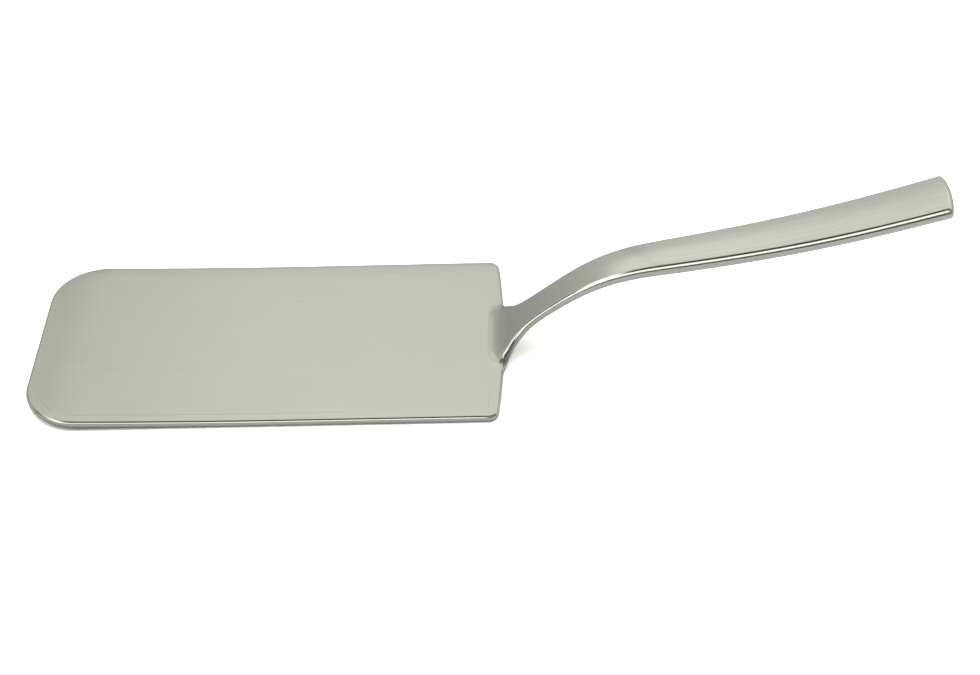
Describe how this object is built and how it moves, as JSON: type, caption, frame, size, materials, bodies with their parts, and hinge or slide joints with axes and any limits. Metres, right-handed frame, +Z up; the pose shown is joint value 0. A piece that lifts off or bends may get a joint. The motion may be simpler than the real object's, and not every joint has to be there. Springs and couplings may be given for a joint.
{
  "type": "pizza server",
  "caption": "Polished stainless steel pizza server: a flat rectangular blade with round front corners and a raised solid handle welded to its rear edge.",
  "frame": {"origin": "on the table, on the blade's flat underside below the server's balance point, midway across", "axes": "+X from the blade towards the handle's end, +Y across the blade, +Z up from the table"},
  "size_m": [0.2702, 0.0726, 0.0531],
  "materials": {
    "blade_steel": "stamped sheet, polished",
    "handle_steel": "forged, polished lengthwise",
    "weld_steel": "weld metal, ground flush and polished"
  },
  "bodies": {
    "root": {"blade": "blade_steel", "handle": "handle_steel", "weld_seam": "weld_steel"}
  },
  "joints": []
}
